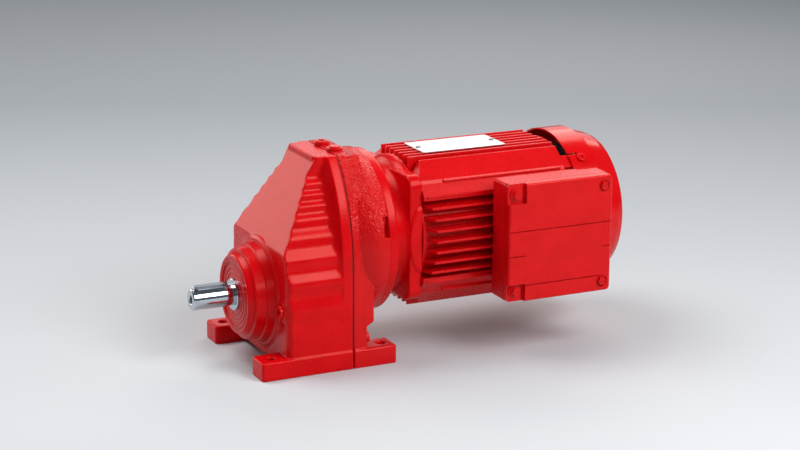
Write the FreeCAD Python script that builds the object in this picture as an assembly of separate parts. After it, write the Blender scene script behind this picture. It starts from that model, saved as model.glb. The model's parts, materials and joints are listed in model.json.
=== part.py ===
import FreeCAD, Part
import math
import os

# Foot-mounted gearmotor, in millimetres.
# Origin: centre of the foot bolt pattern, on the mounting face.
# -X: output shaft.  +X: motor and fan.  -Y: terminal box.  +Z: up.

# ---- gear train ---------------------------------------------------------------------------
GEAR_MODULE = 1.25
PRESSURE_ANGLE = math.radians(20)
ADDENDUM = 0.85                  # in modules, short so that the 13-tooth pinion does not jam
DEDENDUM = 1.2
BACKLASH = 0.25
MOTOR_PINION_TEETH = 13
FIRST_WHEEL_TEETH = 39
SECOND_PINION_TEETH = 49
OUTPUT_WHEEL_TEETH = 81

FIRST_STAGE_X = (24.0, 35.0)     # faces of the first wheel
SECOND_STAGE_X = (5.0, 19.0)     # faces of the second pinion and the output wheel

SHAFT_HEIGHT = 63.0              # output shaft axis above the mounting face
LAYSHAFT_HEIGHT = SHAFT_HEIGHT + GEAR_MODULE * (SECOND_PINION_TEETH + OUTPUT_WHEEL_TEETH) / 2
MOTOR_HEIGHT = LAYSHAFT_HEIGHT - GEAR_MODULE * (MOTOR_PINION_TEETH + FIRST_WHEEL_TEETH) / 2

# ---- output shaft -------------------------------------------------------------------------
SHAFT_RADIUS = 10.0
SHAFT_END_X = -108.5
SHAFT_SHOULDER_X = -68.5
COLLAR_RADIUS = 15.0
OUTPUT_BEARINGS = [(-56, -40, 15, 31, 9), (23, 35, 10, 21, 9)]      # x0, x1, bore, outer, balls
LAYSHAFT_BEARINGS = [(-9, 0, 7.5, 16, 8), (37, 46, 7.5, 16, 8)]     # bore and outer are radii
MOTOR_BEARINGS = [(70, 84, 10, 23.5, 8), (247, 259, 8.5, 20, 8)]
OUTPUT_SEAL_X = (-65.6, -58.2)
SEAL_SEAT_RADIUS = 31.0
KEY_WIDTH = 6.0
KEY_LENGTH = 32.0
KEY_DEPTH = 3.5
KEY_PROUD = 2.5
THREAD_RADIUS = 2.5              # tapping size of the thread in the shaft's end
THREAD_END = 16.0                # depth of the thread's blind end
CENTRE_RECESS = (3.9, 3.6)       # radius and depth of the recess before the thread
CIRCLIP_GROOVE_RADIUS = 9.3      # on the layshaft
CIRCLIP_SEATS = [(SECOND_STAGE_X[0] - 1.2, SECOND_STAGE_X[0]),
                 (FIRST_STAGE_X[1], FIRST_STAGE_X[1] + 1.2)]

# ---- feet ---------------------------------------------------------------------------------
BOLT_SPACING_X = 110.0
BOLT_SPACING_Y = 120.0
FOOT_HOLE_RADIUS = 4.5
FOOT_HEIGHT = 17.5
FOOT_INNER_Y = 46.0
FOOT_OUTER_Y = 72.5
FOOT_FRONT_X = -67.5
FOOT_REAR_X = 66.5
FOOT_CORNER = 2.8                # radius of the upright end corners

# ---- gear case ----------------------------------------------------------------------------
CASE_BOTTOM_Z = 5.0
CASE_TOP_Z = 193.0
CASE_HALF_WIDTH = 70.7
FRONT_X = -41.3                  # vertical front wall
SLOPE_START_Z = 112.0            # front slope, from here up to the top
SLOPE_TOP_X = 3.8
RIM_FRONT_X = 13.0
PARTING_X = 22.5
GASKET_THICKNESS = 1.1
REAR_RIM_X = 30.5
CASE_REAR_X = 44.5
FLANGE_FACE_X = 57.0
CASE_FLANGE_RADIUS = 78.3
WALL = 5.8
WAVE_CRESTS = [62.0, 86.0, 107.0, 126.0, 140.5, 151.0, 160.0, 168.5, 177.0]
WAVE_DEPTH = 2.1
CASE_SCREWS = [(57.0, 24.0), (63.0, 78.0), (60.0, 120.0), (38.0, 172.0)]
CASE_THREAD_X = 13.5             # blind end of the case screw threads
CASE_SCREW_RADIUS = 3.0
CASE_SCREW_HEAD = 5.0
SCREW_SEATS_X = (37.5, 40.0)     # under the lowest case screws, and under the others
SIDE_PLUG_RADIUS = 4.0
CLEARANCE = 0.3                  # round the screw shanks
FLANGE_SCREW_REACH = 42.0        # from the motor axis
FLANGE_SCREW_RADIUS = 3.0
PLUG_PLACES = [(28.2, 12.5), (29.2, -15.0)]
PLUG_RADIUS = 4.2
PLUG_PAD_HEIGHT = 0.8
LIFTING_SLOT = (51.5, 57.5, -80.0, -68.0, 122.5, 141.0)
LEVEL_PLUG = (-57.0, 59.0)
LEVEL_BOSS_X = FRONT_X - 1.5
DRAIN_PLUG_Z = 24.0

# ---- motor --------------------------------------------------------------------------------
MOTOR_RADIUS = 77.0              # fin tips and fan guard
SHIELD_FLANGE_RADIUS = 76.5
STATOR_START_X = 97.0
STATOR_END_X = 250.0
GUARD_START_X = 258.5
GUARD_STEP_X = 284.0
GUARD_END_X = 312.0
TIE_SCREW_Y = 43.5
TIE_SCREW_RISE = 47.5
TIE_SCREW_RADIUS = 3.0
GUARD_SCREW_ANGLES = (41, 139, 221, 319)
GUARD_SCREW_X = 270.5
TIE_SEAT = 6.0                   # screw seat behind the stator's end
GUARD_LUG_RISE = 70.6            # underside of the lugs that carry the fan guard
SIDE_FIN_PITCH = 10.15
TOP_FIN_PITCH = 9.6
TOP_FIN_RISE = 71.5
PLATE = (117.3, 204.3, -22.0, 22.0)   # nameplate: x0, x1, y0, y1
PLATE_Z = MOTOR_HEIGHT + TOP_FIN_RISE
PLATE_THICKNESS = 0.8
RIVETS = [(122.0, 0.0), (200.0, 0.0)]

# ---- terminal box -------------------------------------------------------------------------
BOX_X0 = 163.0
BOX_X1 = 272.0
BOX_Z0 = 54.5
BOX_Z1 = 167.0
PAD_Y = -74.5                    # face of the stator pad
BOX_BACK_Y = -75.3
BOX_SPLIT_Y = -98.0
BOX_FACE_Y = -108.0
BOX_SCREWS = [(171.5, 157.0), (262.5, 157.0), (171.5, 64.5), (262.5, 64.5)]
COVER_GASKET = 0.6
COVER_CREASES = [(163.0, 272.0, 122.0), (163.0, 181.0, 98.5),      # x0, x1, z
                 (263.0, 272.0, 98.5), (180.5, 262.0, 70.0)]
CREASE_WIDTH = 0.9
CREASE_DEPTH = 1.6
ENTRY_X = (196.0, 234.0)         # cable entries underneath
ENTRY_Y = -88.5
BOARD_X = 212.0
BASE_PAD_X = (172.5, 243.5)
BASE_PAD_RISE = 36.5

V = FreeCAD.Vector
X_AXIS = V(1, 0, 0)
Y_AXIS = V(0, 1, 0)
Z_AXIS = V(0, 0, 1)
ROOT_HALF = math.sqrt(0.5)


# ---- shape helpers ------------------------------------------------------------------------
def rod(x0, x1, radius, z, y=0.0):
    """Cylinder along X."""
    return Part.makeCylinder(radius, x1 - x0, V(x0, y, z), X_AXIS)


def ring(x0, x1, outer, inner, z, y=0.0):
    return rod(x0, x1, outer, z, y).cut(rod(x0 - 1, x1 + 1, inner, z, y))


def pin_y(y0, y1, radius, x, z):
    return Part.makeCylinder(radius, y1 - y0, V(x, y0, z), Y_AXIS)


def pin_z(z0, z1, radius, x, y):
    return Part.makeCylinder(radius, z1 - z0, V(x, y, z0), Z_AXIS)


def block(x0, x1, y0, y1, z0, z1):
    return Part.makeBox(x1 - x0, y1 - y0, z1 - z0, V(x0, y0, z0))


def closed_face(points):
    return Part.Face(Part.makePolygon(points + points[:1]))


def lathe(profile, z, y=0.0):
    """Turn a closed (x, radius) outline about an axis along X."""
    face = closed_face([V(x, y, z + radius) for x, radius in profile])
    return face.revolve(V(0, y, z), X_AXIS, 360)


def prism_x(outline, x0, x1):
    """Push a closed (y, z) outline along X."""
    return closed_face([V(x0, y, z) for y, z in outline]).extrude(V(x1 - x0, 0, 0))


def prism_y(outline, y0, y1):
    """Push a closed (x, z) outline along Y."""
    return closed_face([V(x, y0, z) for x, z in outline]).extrude(V(0, y1 - y0, 0))


def prism_z(outline, z0, z1):
    """Push a closed (x, y) outline along Z."""
    return closed_face([V(x, y, z0) for x, y in outline]).extrude(V(0, 0, z1 - z0))


def both_sides(half):
    """Mirror the (y, z) points of one half to close an outline about Y = 0."""
    return half + [(-y, z) for y, z in reversed(half)]


def fuse(shapes):
    return shapes[0].multiFuse(shapes[1:]).removeSplitter()


def cut_all(shape, tools):
    for tool in tools:
        shape = shape.cut(tool)
    return shape


def hexagon(across_flats, centre_u, centre_v):
    radius = across_flats / math.sqrt(3)
    angles = [math.radians(60 * k) for k in range(6)]
    return [(centre_u + radius * math.cos(a), centre_v + radius * math.sin(a)) for a in angles]


def round_edges(shape, radius, wanted):
    edges = [edge for edge in shape.Edges if wanted(edge)]
    return shape.makeFillet(radius, edges) if edges else shape


def is_along(edge, axis):
    if len(edge.Vertexes) < 2:
        return False
    run = edge.Vertexes[1].Point.sub(edge.Vertexes[0].Point)
    return run.Length > 0 and abs(abs(run.dot(axis)) / run.Length - 1) < 1e-6


def turned(shape, degrees, z, y=0.0):
    """A copy turned about the axis along X at (y, z)."""
    copy = shape.copy()
    copy.rotate(V(0, y, z), X_AXIS, degrees)
    return copy


def mirrored_y(shape):
    return shape.mirror(V(0, 0, 0), Y_AXIS)


def mirrored_pair(shape):
    return [shape, mirrored_y(shape)]


# ---- machine elements ---------------------------------------------------------------------
def involute(angle):
    return math.tan(angle) - angle


def tooth_half_angle(teeth, radius):
    """Half the angle that one tooth takes up at this radius."""
    pitch_radius = GEAR_MODULE * teeth / 2
    base_radius = pitch_radius * math.cos(PRESSURE_ANGLE)
    angle_there = math.acos(min(1.0, base_radius / radius))
    thickness = math.pi * GEAR_MODULE / 2 - BACKLASH
    return thickness / (2 * pitch_radius) + involute(PRESSURE_ANGLE) - involute(angle_there)


def toothed_disc(teeth, x0, x1, z):
    """Spur gear blank with one tooth straight up."""
    pitch_radius = GEAR_MODULE * teeth / 2
    root = pitch_radius - DEDENDUM * GEAR_MODULE
    tip = pitch_radius + ADDENDUM * GEAR_MODULE
    base = pitch_radius * math.cos(PRESSURE_ANGLE)
    start = max(root, base)
    radii = [root] + [start + (tip - start) * k / 3 for k in range(4)]
    flank = [(radius, tooth_half_angle(teeth, radius)) for radius in radii]
    points = []
    for tooth in range(teeth):
        middle = 2 * math.pi * tooth / teeth
        sides = [(r, middle - half) for r, half in flank]
        sides += [(r, middle + half) for r, half in reversed(flank)]
        points += [(r * math.sin(a), z + r * math.cos(a)) for r, a in sides]
    return prism_x(points, x0, x1)


def ball_bearing(x0, x1, bore, outer, z, balls):
    """Outer ring, inner ring and caged balls of a deep-groove bearing."""
    middle_x = (x0 + x1) / 2
    middle_r = (bore + outer) / 2
    ball = (outer - bore) * 0.27
    play = 0.15
    land = ball * 0.55
    groove = Part.makeTorus(middle_r, ball + play, V(middle_x, 0, z), X_AXIS)
    outer_ring = ring(x0, x1, outer, middle_r + land, z).cut(groove)
    inner_ring = ring(x0, x1, middle_r - land, bore, z).cut(groove)
    cage_half = 0.8
    parts = [ring(middle_x - cage_half, middle_x + cage_half, middle_r + 1, middle_r - 1, z)]
    for k in range(balls):
        angle = 2 * math.pi * k / balls
        centre = V(middle_x, middle_r * math.sin(angle), z + middle_r * math.cos(angle))
        parts.append(Part.makeSphere(ball, centre))
    return outer_ring, inner_ring, fuse(parts)


def lip_seal(x0, x1, bore, outer, z):
    """Rubber-cased oil seal with three ring grooves in its face towards -X."""
    step = (outer - bore) / 4
    profile = [(x0, bore + 0.05), (x0 + 1.2, bore + 0.05), (x0 + 2.2, bore + 1.5)]
    profile += [(x1, bore + 1.5), (x1, bore + 3), (x0 + 3.5, bore + 3), (x0 + 3.5, outer - 2)]
    profile += [(x1, outer - 2), (x1, outer), (x0, outer)]
    for along in (0.82, 0.55, 0.28):
        radius = bore + along * (outer - bore)
        land = 0.06 * (outer - bore)
        profile += [(x0, radius + land), (x0 + 0.7, radius + land - 0.3)]
        profile += [(x0 + 0.7, radius - land + 0.3), (x0, radius - land)]
    return lathe(profile, z)


def circlip(x0, x1, outer, inner, z, lug):
    """Snap ring with its gap upwards; lug is +1 for a shaft ring, -1 for a bore ring."""
    band = ring(x0, x1, outer, inner, z)
    lug_r = outer + 0.5 if lug > 0 else inner - 0.5
    ears = [rod(x0, x1, 1.8, z + lug_r - lug * 0.4, side * 3.2) for side in (-1, 1)]
    gap = block(x0 - 1, x1 + 1, -1.6, 1.6, z + inner - 3, z + outer + 3)
    return fuse([band] + ears).cut(gap)


def socket_screw(x0, head_x, head_length, shank, head, y, z):
    """Cap screw along X: the head sits from head_x towards +X, the shank runs back to x0."""
    body = fuse([rod(x0, head_x, shank, z, y), rod(head_x, head_x + head_length, head, z, y)])
    socket = prism_x(hexagon(head * 1.0, y, z), head_x + head_length / 2, head_x + head_length + 1)
    return body.cut(socket)


# ---- gear case ----------------------------------------------------------------------------
def between(z, stations):
    """Straight-line value at height z in a list of (z, value)."""
    for (z0, v0), (z1, v1) in zip(stations, stations[1:]):
        if z <= z1:
            return v0 + (v1 - v0) * max(0.0, z - z0) / (z1 - z0)
    return stations[-1][1]


def wall_half_width(z):
    """Half the width of the narrow front part, without its waves."""
    stations = [(42, CASE_HALF_WIDTH), (85, 69.5), (112, 62.5), (173, 33.0), (186, 31.5)]
    return between(z, stations)


def rim_half_width(z):
    """Half the width at the parting rim: upright low down, drawn in towards the top."""
    drawn_in = 36.7
    start_z = 66.0
    rise = max(0.0, z - start_z) / (CASE_TOP_Z - start_z)
    return CASE_HALF_WIDTH - drawn_in * rise ** 3


def wave_points():
    """(half width, z) up the wavy side wall: a crest at each level, a hollow above it."""
    points = [(CASE_HALF_WIDTH, z) for z in (CASE_BOTTOM_Z, 25.0, 40.0)]
    points.append((CASE_HALF_WIDTH - 0.6, 50.0))
    for crest_z, next_z in zip(WAVE_CRESTS, WAVE_CRESTS[1:]):
        length = next_z - crest_z
        hollow_z = crest_z + 0.52 * length
        points.append((wall_half_width(crest_z) + 0.45 * WAVE_DEPTH, crest_z))
        points.append((wall_half_width(hollow_z) - 0.55 * WAVE_DEPTH, hollow_z))
    points.append((31.5, CASE_TOP_Z - 8))
    points.append((31.5, CASE_TOP_Z))
    return points


def outline_wire(x, half):
    """Closed wire in the plane X = x from (half width, z) points, smooth up each side."""
    right = Part.BSplineCurve()
    right.interpolate([V(x, -y, z) for y, z in half])
    left = Part.BSplineCurve()
    left.interpolate([V(x, y, z) for y, z in half])
    (y0, z0), (y1, z1) = half[0], half[-1]
    bottom = Part.makeLine(V(x, -y0, z0), V(x, y0, z0))
    top = Part.makeLine(V(x, -y1, z1), V(x, y1, z1))
    return Part.Wire([bottom, left.toShape(), top, right.toShape()])


def rim_points(inset=0.0):
    levels = [CASE_BOTTOM_Z, 40, 66, 90, 112, 132, 150, 166, 180, CASE_TOP_Z - inset]
    return [(rim_half_width(z) - inset, z) for z in levels]


def rim_slab(x0, x1, inset=0.0):
    return Part.Face(outline_wire(x0, rim_points(inset))).extrude(V(x1 - x0, 0, 0))


def cove():
    """Hollow curve that spreads the narrow front part out to the rim."""
    levels = [z for _, z in rim_points()]
    steps = [(0.0, 0.0), (0.35, 0.06), (0.6, 0.2), (0.8, 0.45), (0.93, 0.75), (1.0, 1.0)]
    start_x = 1.0
    wires = []
    for along, spread in steps:
        x = start_x + (RIM_FRONT_X + 0.5 - start_x) * along
        half = []
        for z in levels:
            narrow = wall_half_width(z) - 3
            half.append((narrow + (rim_half_width(z) - narrow) * spread, z))
        wires.append(outline_wire(x, half))
    return Part.makeLoft(wires, True, True)


def side_profile(inset=0.0):
    """(x, z) outline of the front half: upright front wall, then the slope."""
    low = CASE_BOTTOM_Z + (4.5 if inset else 0.0)
    return [(FRONT_X + inset, low), (FRONT_X + inset, SLOPE_START_Z - inset / 3),
            (SLOPE_TOP_X + inset, CASE_TOP_Z - inset), (60, CASE_TOP_Z - inset), (60, low)]


def foot(x0, x1, at_front):
    """One pair of foot strips, with rounded free end corners."""
    end_x, seam_x = (x0, x1) if at_front else (x1, x0)
    strip = block(x0, x1, -FOOT_OUTER_Y, -FOOT_INNER_Y, 0, FOOT_HEIGHT)

    def upright_corner(edge):
        return is_along(edge, Z_AXIS) and abs(edge.CenterOfMass.x - seam_x) > 0.01

    def on_top(edge):
        at_seam = abs(edge.CenterOfMass.x - seam_x) < 0.01
        return edge.BoundBox.ZMin > FOOT_HEIGHT - 0.01 and not at_seam

    strip = round_edges(strip, FOOT_CORNER, upright_corner)
    strip = round_edges(strip, 1.4, on_top)
    hole_x = math.copysign(BOLT_SPACING_X / 2, end_x)
    hole = pin_z(-1, FOOT_HEIGHT + 1, FOOT_HOLE_RADIUS, hole_x, -BOLT_SPACING_Y / 2)
    return mirrored_pair(strip.cut(hole))


def cavity(x0, x1):
    """Oil space inside the gear case, between two planes."""
    half = [(62, CASE_BOTTOM_Z + 4.5), (62, 85), (54, 112), (46, 133), (37, 152), (27, 170)]
    half += [(25, CASE_TOP_Z - WALL)]
    return prism_x(both_sides(half), x0, x1).common(prism_y(side_profile(WALL), -90, 90))


def screw_bosses(x0, x1):
    """Solid columns in the corners of the case for the case screws."""
    return [rod(x0, x1, 6.8, z, side * y) for y, z in CASE_SCREWS for side in (-1, 1)]


def case_screw_holes(x0, x1, radius):
    return [rod(x0, x1, radius, z, side * y) for y, z in CASE_SCREWS for side in (-1, 1)]


def case_screw_seats():
    low_seat, seat = SCREW_SEATS_X
    return [(low_seat, CASE_SCREWS[0])] + [(seat, place) for place in CASE_SCREWS[1:]]


def bearing_boss():
    """Stepped round boss that carries the output bearing and its seal."""
    profile = [(-66.4, 28), (-66.4, 32.2), (-65.7, 32.6), (-65.7, 33.6), (-66.4, 34.0)]
    profile += [(-66.4, 36.2), (-65.2, 37.3), (-60.8, 39.6), (-60.4, 42.0)]
    profile += [(-59.6, 42.6), (-51.0, 44.0), (-50.4, 45.4), (-44.0, 47.4), (-43.2, 50.0)]
    profile += [(FRONT_X, 52.5), (-36, 52.5), (-36, 28)]
    return lathe(profile, SHAFT_HEIGHT)


def gear_case_front():
    waves = Part.Face(outline_wire(FRONT_X, wave_points())).extrude(V(60, 0, 0))
    body = waves.common(prism_y(side_profile(), -90, 90))
    corner = block(FRONT_X, 60, -CASE_HALF_WIDTH - 1.5, CASE_HALF_WIDTH + 1.5, 0, 220)
    corner = round_edges(corner, 10.0, lambda e: is_along(e, Z_AXIS) and e.CenterOfMass.x < 0)
    body = body.common(corner).common(block(-70, PARTING_X, -90, 90, 0, 220))
    shapes = [body, cove(), rim_slab(RIM_FRONT_X, PARTING_X), bearing_boss()]
    shell = fuse(shapes)
    hollow = cavity(-70, PARTING_X + 1)
    layshaft_boss = rod(-30, 0.5, 21, LAYSHAFT_HEIGHT).common(body)
    inside = screw_bosses(-8, PARTING_X) + [layshaft_boss, rod(-40, -32, 34, SHAFT_HEIGHT)]
    inside = [shape.common(hollow) for shape in inside]
    level_y, level_z = LEVEL_PLUG
    level_boss = rod(LEVEL_BOSS_X, -36, 8.5, level_z, level_y)
    shell = fuse([shell.cut(hollow)] + inside + foot(FOOT_FRONT_X, PARTING_X, True) + [level_boss])
    seat_x0, seat_x1, _, seat_radius, _ = OUTPUT_BEARINGS[0]
    tools = [rod(-70, seat_x1, seat_radius, SHAFT_HEIGHT), rod(-41, -20, 26, SHAFT_HEIGHT)]
    tools.append(ring(seat_x0 - 2, seat_x0, 32.5, 30.5, SHAFT_HEIGHT))
    seat_x0, seat_x1, _, seat_radius, _ = LAYSHAFT_BEARINGS[0]
    tools.append(rod(seat_x0, seat_x1 + 2, seat_radius, LAYSHAFT_HEIGHT))
    tools.append(rod(seat_x0 - 2, seat_x1, 9, LAYSHAFT_HEIGHT))
    tools.append(rod(-50, -20, SIDE_PLUG_RADIUS, level_z, level_y))
    tools += case_screw_holes(CASE_THREAD_X, PARTING_X + 1, CASE_SCREW_RADIUS)
    return cut_all(shell, tools)


def gear_case_rear():
    x0 = PARTING_X + GASKET_THICKNESS
    side = [(x0, CASE_BOTTOM_Z), (37.5, CASE_BOTTOM_Z), (37.5, 38), (CASE_REAR_X, 42)]
    side += [(CASE_REAR_X, CASE_TOP_Z), (x0, CASE_TOP_Z)]
    rim = rim_slab(x0, REAR_RIM_X)
    body = rim_slab(REAR_RIM_X - 1, CASE_REAR_X + 2, 1.3).common(prism_y(side, -90, 90))
    pad_side = rim_slab(REAR_RIM_X + 1.2, 42.0).common(block(0, 60, -90, 90, 157, 192.2))
    drum = [(REAR_RIM_X, 30), (REAR_RIM_X, 68.5), (35, 72.3), (40, 75.6), (45, 77.6)]
    drum += [(49, CASE_FLANGE_RADIUS), (FLANGE_FACE_X, CASE_FLANGE_RADIUS), (FLANGE_FACE_X, 30)]
    drum = lathe(drum, MOTOR_HEIGHT)
    pad_top = CASE_TOP_Z + PLUG_PAD_HEIGHT
    pads = [pin_z(CASE_TOP_Z - 4, pad_top, 8.2, x, y) for x, y in PLUG_PLACES]
    pads = fuse(pads).common(block(x0, 60, -40, 40, 0, 220))
    low_rim = rim.common(prism_y(side, -90, 90))
    shell = fuse([low_rim, body, pad_side, drum, pads])
    hollow = cavity(x0 - 1, 38).common(prism_y([(0, 0), (33, 0), (33, 40), (38, 44),
                                                (38, 200), (0, 200)], -90, 90))
    inside = [shape.common(hollow) for shape in screw_bosses(x0, 39)]
    inside.append(rod(24, 40, 26.5, SHAFT_HEIGHT).common(hollow))
    inside.append(rod(36, 40, 21, LAYSHAFT_HEIGHT).common(hollow))
    shell = fuse([shell.cut(hollow)] + inside + foot(x0, FOOT_REAR_X, False))
    _, seat_x1, _, seat_radius, _ = OUTPUT_BEARINGS[1]
    tools = [rod(x0 - 1, seat_x1, seat_radius, SHAFT_HEIGHT), rod(34, 37, 12, SHAFT_HEIGHT)]
    seat_x0, seat_x1, _, seat_radius, _ = LAYSHAFT_BEARINGS[1]
    tools.append(rod(seat_x0 - 1, seat_x1, seat_radius, LAYSHAFT_HEIGHT))
    tools.append(rod(seat_x1 - 1, seat_x1 + 2, 9, LAYSHAFT_HEIGHT))
    tools += [rod(36, 52, 11.5, MOTOR_HEIGHT), rod(50, 60, 30, MOTOR_HEIGHT)]
    tools += case_screw_holes(x0 - 1, 60, CASE_SCREW_RADIUS + CLEARANCE)
    tools += [rod(seat, 60, CASE_SCREW_HEAD + 0.8, z, side * y)
              for seat, (y, z) in case_screw_seats() for side in (-1, 1)]
    for y, z in motor_flange_screw_places():
        tools.append(rod(36, 60, FLANGE_SCREW_RADIUS + CLEARANCE - 0.1, z, y))
        tools.append(rod(36, 44, 5.4, z, y))
    tools.append(block(*LIFTING_SLOT))
    tools += [pin_z(CASE_TOP_Z - 12, CASE_TOP_Z + 2, PLUG_RADIUS, x, y) for x, y in PLUG_PLACES]
    tools.append(rod(30, 40, SIDE_PLUG_RADIUS, DRAIN_PLUG_Z, 0))
    return cut_all(shell, tools)


def case_gasket():
    x1 = PARTING_X + GASKET_THICKNESS
    sheet = rim_slab(PARTING_X, x1, 1.4).cut(cavity(PARTING_X - 1, x1 + 1))
    bosses = [shape.common(rim_slab(PARTING_X, x1, 1.4)) for shape in screw_bosses(PARTING_X, x1)]
    sheet = fuse([sheet] + bosses)
    return cut_all(sheet, case_screw_holes(PARTING_X - 1, x1 + 1, CASE_SCREW_RADIUS + CLEARANCE))


def case_screws():
    return [socket_screw(CASE_THREAD_X + 1, seat, 6, CASE_SCREW_RADIUS, CASE_SCREW_HEAD,
                         side * y, z)
            for seat, (y, z) in case_screw_seats() for side in (-1, 1)]


def top_plug(x, y, breather):
    """Collared screw plug; the breather has a domed cap instead of a socket."""
    seat = CASE_TOP_Z + PLUG_PAD_HEIGHT
    parts = [pin_z(CASE_TOP_Z - 9, seat, PLUG_RADIUS, x, y), pin_z(seat, seat + 2.4, 7.4, x, y)]
    if breather:
        cap = pin_z(seat + 2.2, seat + 4.0, 5.4, x, y)
        parts.append(round_edges(cap, 1.0, lambda e: e.BoundBox.ZMin > seat + 3.9))
        return fuse(parts)
    parts.append(pin_z(seat + 2.2, seat + 3.4, 5.8, x, y))
    socket = prism_z(hexagon(6.0, x, y), seat - 1, seat + 5)
    return fuse(parts).cut(socket)


def side_plug(x_face, direction, y, z):
    """Small socket-head screw plug along X, its collar on the face at x_face."""
    near, far = sorted([x_face, x_face + direction * 2.5])
    end0, end1 = sorted([x_face, x_face - direction * 7])
    body = fuse([rod(near, far, 6.2, z, y), rod(end0, end1, SIDE_PLUG_RADIUS, z, y)])
    s0, s1 = sorted([x_face - direction * 1.0, x_face + direction * 3.5])
    return body.cut(prism_x(hexagon(5.0, y, z), s0, s1))


# ---- output shaft set ---------------------------------------------------------------------
def output_shaft():
    profile = [(SHAFT_END_X, 0), (SHAFT_END_X, SHAFT_RADIUS - 1), (SHAFT_END_X + 1, SHAFT_RADIUS)]
    profile += [(SHAFT_SHOULDER_X, SHAFT_RADIUS), (SHAFT_SHOULDER_X, COLLAR_RADIUS - 0.6)]
    profile += [(SHAFT_SHOULDER_X + 0.6, COLLAR_RADIUS), (-40, COLLAR_RADIUS), (-40, 18), (-32, 18)]
    wheel_x0, wheel_x1 = SECOND_STAGE_X
    profile += [(-32, 17), (wheel_x0, 17), (wheel_x0, 14), (wheel_x1, 14), (wheel_x1, 10)]
    profile += [(35.5, 10), (35.5, 0)]
    shaft = lathe(profile, SHAFT_HEIGHT)
    key_z = SHAFT_HEIGHT + SHAFT_RADIUS - KEY_DEPTH
    thread = rod(SHAFT_END_X - 1, SHAFT_END_X + THREAD_END, THREAD_RADIUS, SHAFT_HEIGHT)
    recess_radius, recess_depth = CENTRE_RECESS
    recess = rod(SHAFT_END_X - 1, SHAFT_END_X + recess_depth, recess_radius, SHAFT_HEIGHT)
    mouth = Part.makeCone(recess_radius + 0.8, recess_radius, 0.8,
                          V(SHAFT_END_X - 0.01, 0, SHAFT_HEIGHT), X_AXIS)
    wheel_slot = output_wheel_key()
    return cut_all(shaft, [rounded_key(key_z, key_z + 10), thread, recess, mouth, wheel_slot])


def rounded_key(z0, z1):
    """Round-ended key outline on the free end of the shaft, between two heights."""
    x0 = SHAFT_SHOULDER_X - 4 - KEY_LENGTH
    x1 = x0 + KEY_LENGTH
    r = KEY_WIDTH / 2
    bar = block(x0 + r, x1 - r, -r, r, z0, z1)
    return fuse([bar, pin_z(z0, z1, r, x0 + r, 0), pin_z(z0, z1, r, x1 - r, 0)])


def output_key():
    key_z = SHAFT_HEIGHT + SHAFT_RADIUS - KEY_DEPTH
    return rounded_key(key_z, key_z + KEY_DEPTH + KEY_PROUD)


def output_wheel():
    x0, x1 = SECOND_STAGE_X
    blank = toothed_disc(OUTPUT_WHEEL_TEETH, x0, x1, SHAFT_HEIGHT)
    dish = ring(x0 - 1, x0 + 3, 42, 24, SHAFT_HEIGHT)
    holes = [turned(rod(0, 20, 5.5, SHAFT_HEIGHT + 33), 60 * k + 30, SHAFT_HEIGHT)
             for k in range(6)]
    keyway = block(0, 20, -4, 4, SHAFT_HEIGHT, SHAFT_HEIGHT + 17.3)
    return cut_all(blank, [dish, rod(0, 20, 14, SHAFT_HEIGHT), keyway] + holes)


def output_wheel_key():
    x0, x1 = SECOND_STAGE_X
    return block(x0 + 1, x1 - 1, -4, 4, SHAFT_HEIGHT + 10, SHAFT_HEIGHT + 17)


# ---- layshaft set -------------------------------------------------------------------------
def layshaft():
    collar_x0 = SECOND_STAGE_X[1]
    collar_x1 = FIRST_STAGE_X[0]
    profile = [(-9, 0), (-9, 7.5), (0, 7.5), (0, 10), (collar_x0, 10), (collar_x0, 13)]
    profile += [(collar_x1, 13), (collar_x1, 10), (37, 10), (37, 7.5), (45.5, 7.5), (45.5, 0)]
    shaft = lathe(profile, LAYSHAFT_HEIGHT)
    grooves = [ring(x0, x1, 11, CIRCLIP_GROOVE_RADIUS, LAYSHAFT_HEIGHT) for x0, x1 in CIRCLIP_SEATS]
    return cut_all(shaft, layshaft_keys() + grooves)


def layshaft_circlips():
    return [circlip(x0, x1, 11.6, CIRCLIP_GROOVE_RADIUS, LAYSHAFT_HEIGHT, 1) for x0, x1 in CIRCLIP_SEATS]


def layshaft_keys():
    spans = [(x0 + 1, x1 - 1) for x0, x1 in (SECOND_STAGE_X, FIRST_STAGE_X)]
    return [block(x0, x1, -3, 3, LAYSHAFT_HEIGHT + 6.5, LAYSHAFT_HEIGHT + 12)
            for x0, x1 in spans]


def layshaft_gear(teeth, x0, x1):
    blank = toothed_disc(teeth, x0, x1, LAYSHAFT_HEIGHT)
    keyway = block(x0 - 1, x1 + 1, -3, 3, LAYSHAFT_HEIGHT, LAYSHAFT_HEIGHT + 12.3)
    return cut_all(blank, [rod(x0 - 1, x1 + 1, 10, LAYSHAFT_HEIGHT), keyway])


# ---- motor --------------------------------------------------------------------------------
def motor_flange_screw_places():
    reach = FLANGE_SCREW_REACH * ROOT_HALF
    return [(sy * reach, MOTOR_HEIGHT + sz * reach) for sy in (-1, 1) for sz in (-1, 1)]


def tie_screw_places():
    return [(sy * TIE_SCREW_Y, MOTOR_HEIGHT + sz * TIE_SCREW_RISE)
            for sy in (-1, 1) for sz in (-1, 1)]


def motor_flange_screws():
    """Cap screws set from inside the gear case, heads towards -X."""
    screws = []
    for y, z in motor_flange_screw_places():
        head = rod(38.1, 44.0, 4.8, z, y)
        body = fuse([head, rod(44.0, 64.0, FLANGE_SCREW_RADIUS, z, y)])
        screws.append(body.cut(prism_x(hexagon(5.0, y, z), 37, 41)))
    return screws


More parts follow.
